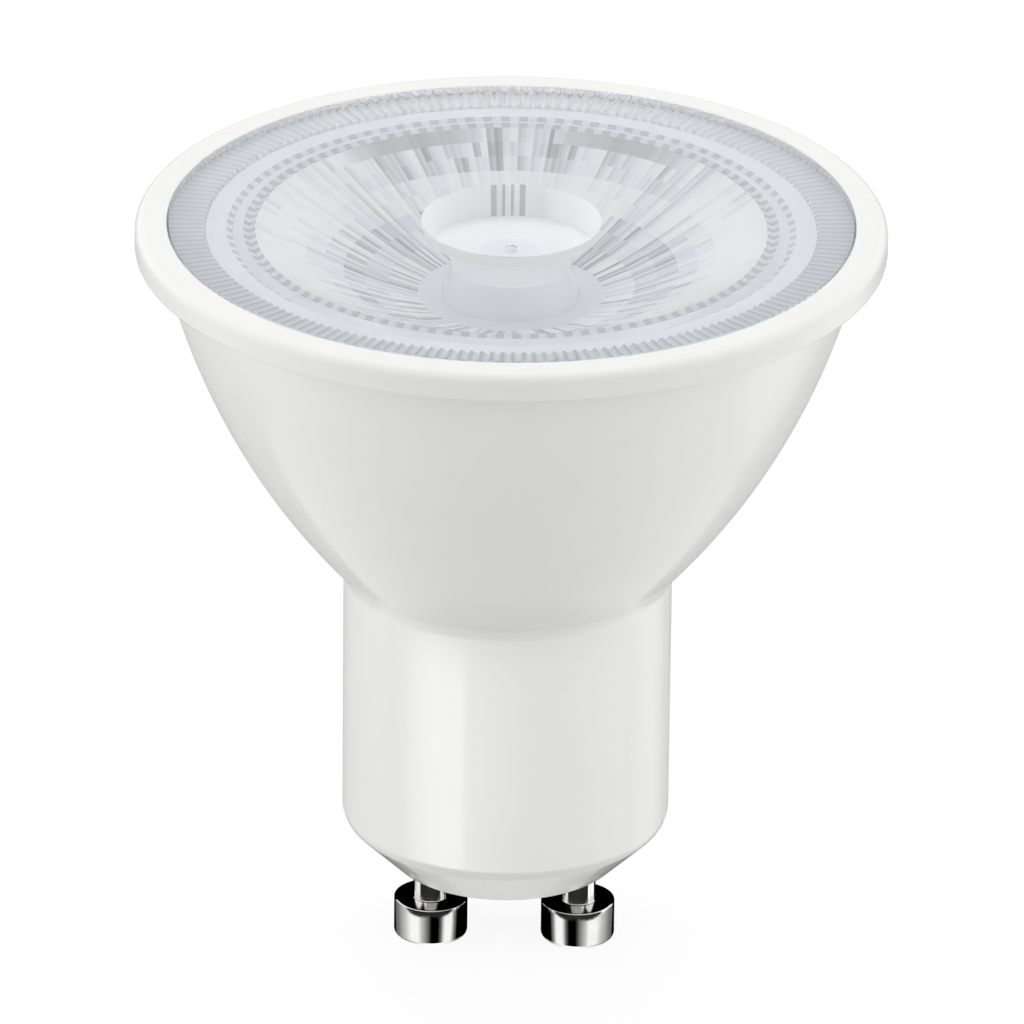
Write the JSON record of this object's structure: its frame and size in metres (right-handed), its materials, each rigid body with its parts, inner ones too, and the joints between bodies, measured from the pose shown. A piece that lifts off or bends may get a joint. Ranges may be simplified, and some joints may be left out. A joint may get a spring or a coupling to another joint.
{
  "type": "gu10 spotlight bulb",
  "caption": "Spotlight lamp with a flared white body, a clear faceted lens in the rim and a twist-lock pin base that carries its own driver.",
  "frame": {"origin": "centre of the base's end face, between the two contact pins", "axes": "+Z along the lamp's axis from the base towards the lens; the two pins lie along X"},
  "size_m": [0.05, 0.05, 0.0529],
  "materials": {
    "body_plastic": "smooth white thermoplastic",
    "clear_lens": "clear polished moulding",
    "sink_aluminium": "bare pressed metal",
    "pad_rubber": "soft grey sheet",
    "led_board_white": "white solder mask on a metal core",
    "led_ceramic": "matt white",
    "phosphor": "pale yellow silicone",
    "screw_steel": "zinc plated",
    "pin_plating": "bright nickel plating",
    "board_green": "green solder mask",
    "can_sleeve": "dark shrink sleeve over a can",
    "film_yellow": "yellow box",
    "ferrite": "dark grey ferrite",
    "copper_wire": "enamelled copper wire",
    "resistor_blue": "grey-blue coating",
    "chip_black": "black moulding compound",
    "wire_white": "white sleeve",
    "wire_red": "red insulation",
    "wire_black": "black insulation"
  },
  "bodies": {
    "root": {"housing": "body_plastic", "lens": "clear_lens", "heat_sink": "sink_aluminium", "thermal_pad": "pad_rubber", "led_board": "led_board_white", "led_package": "led_ceramic", "led_phosphor": "phosphor", "board_screws": "screw_steel", "contact_pin_left": "pin_plating", "contact_pin_right": "pin_plating", "driver_board": "board_green", "bulk_capacitor": "can_sleeve", "filter_capacitor": "film_yellow", "inductor_core": "ferrite", "inductor_winding": "copper_wire", "fuse_resistor": "resistor_blue", "bridge_rectifier": "chip_black", "driver_chip": "chip_black", "output_diode": "chip_black", "sense_resistors": "chip_black", "mains_wire_left": "wire_white", "mains_wire_right": "wire_white", "led_wire_red": "wire_red", "led_wire_black": "wire_black"}
  },
  "joints": []
}
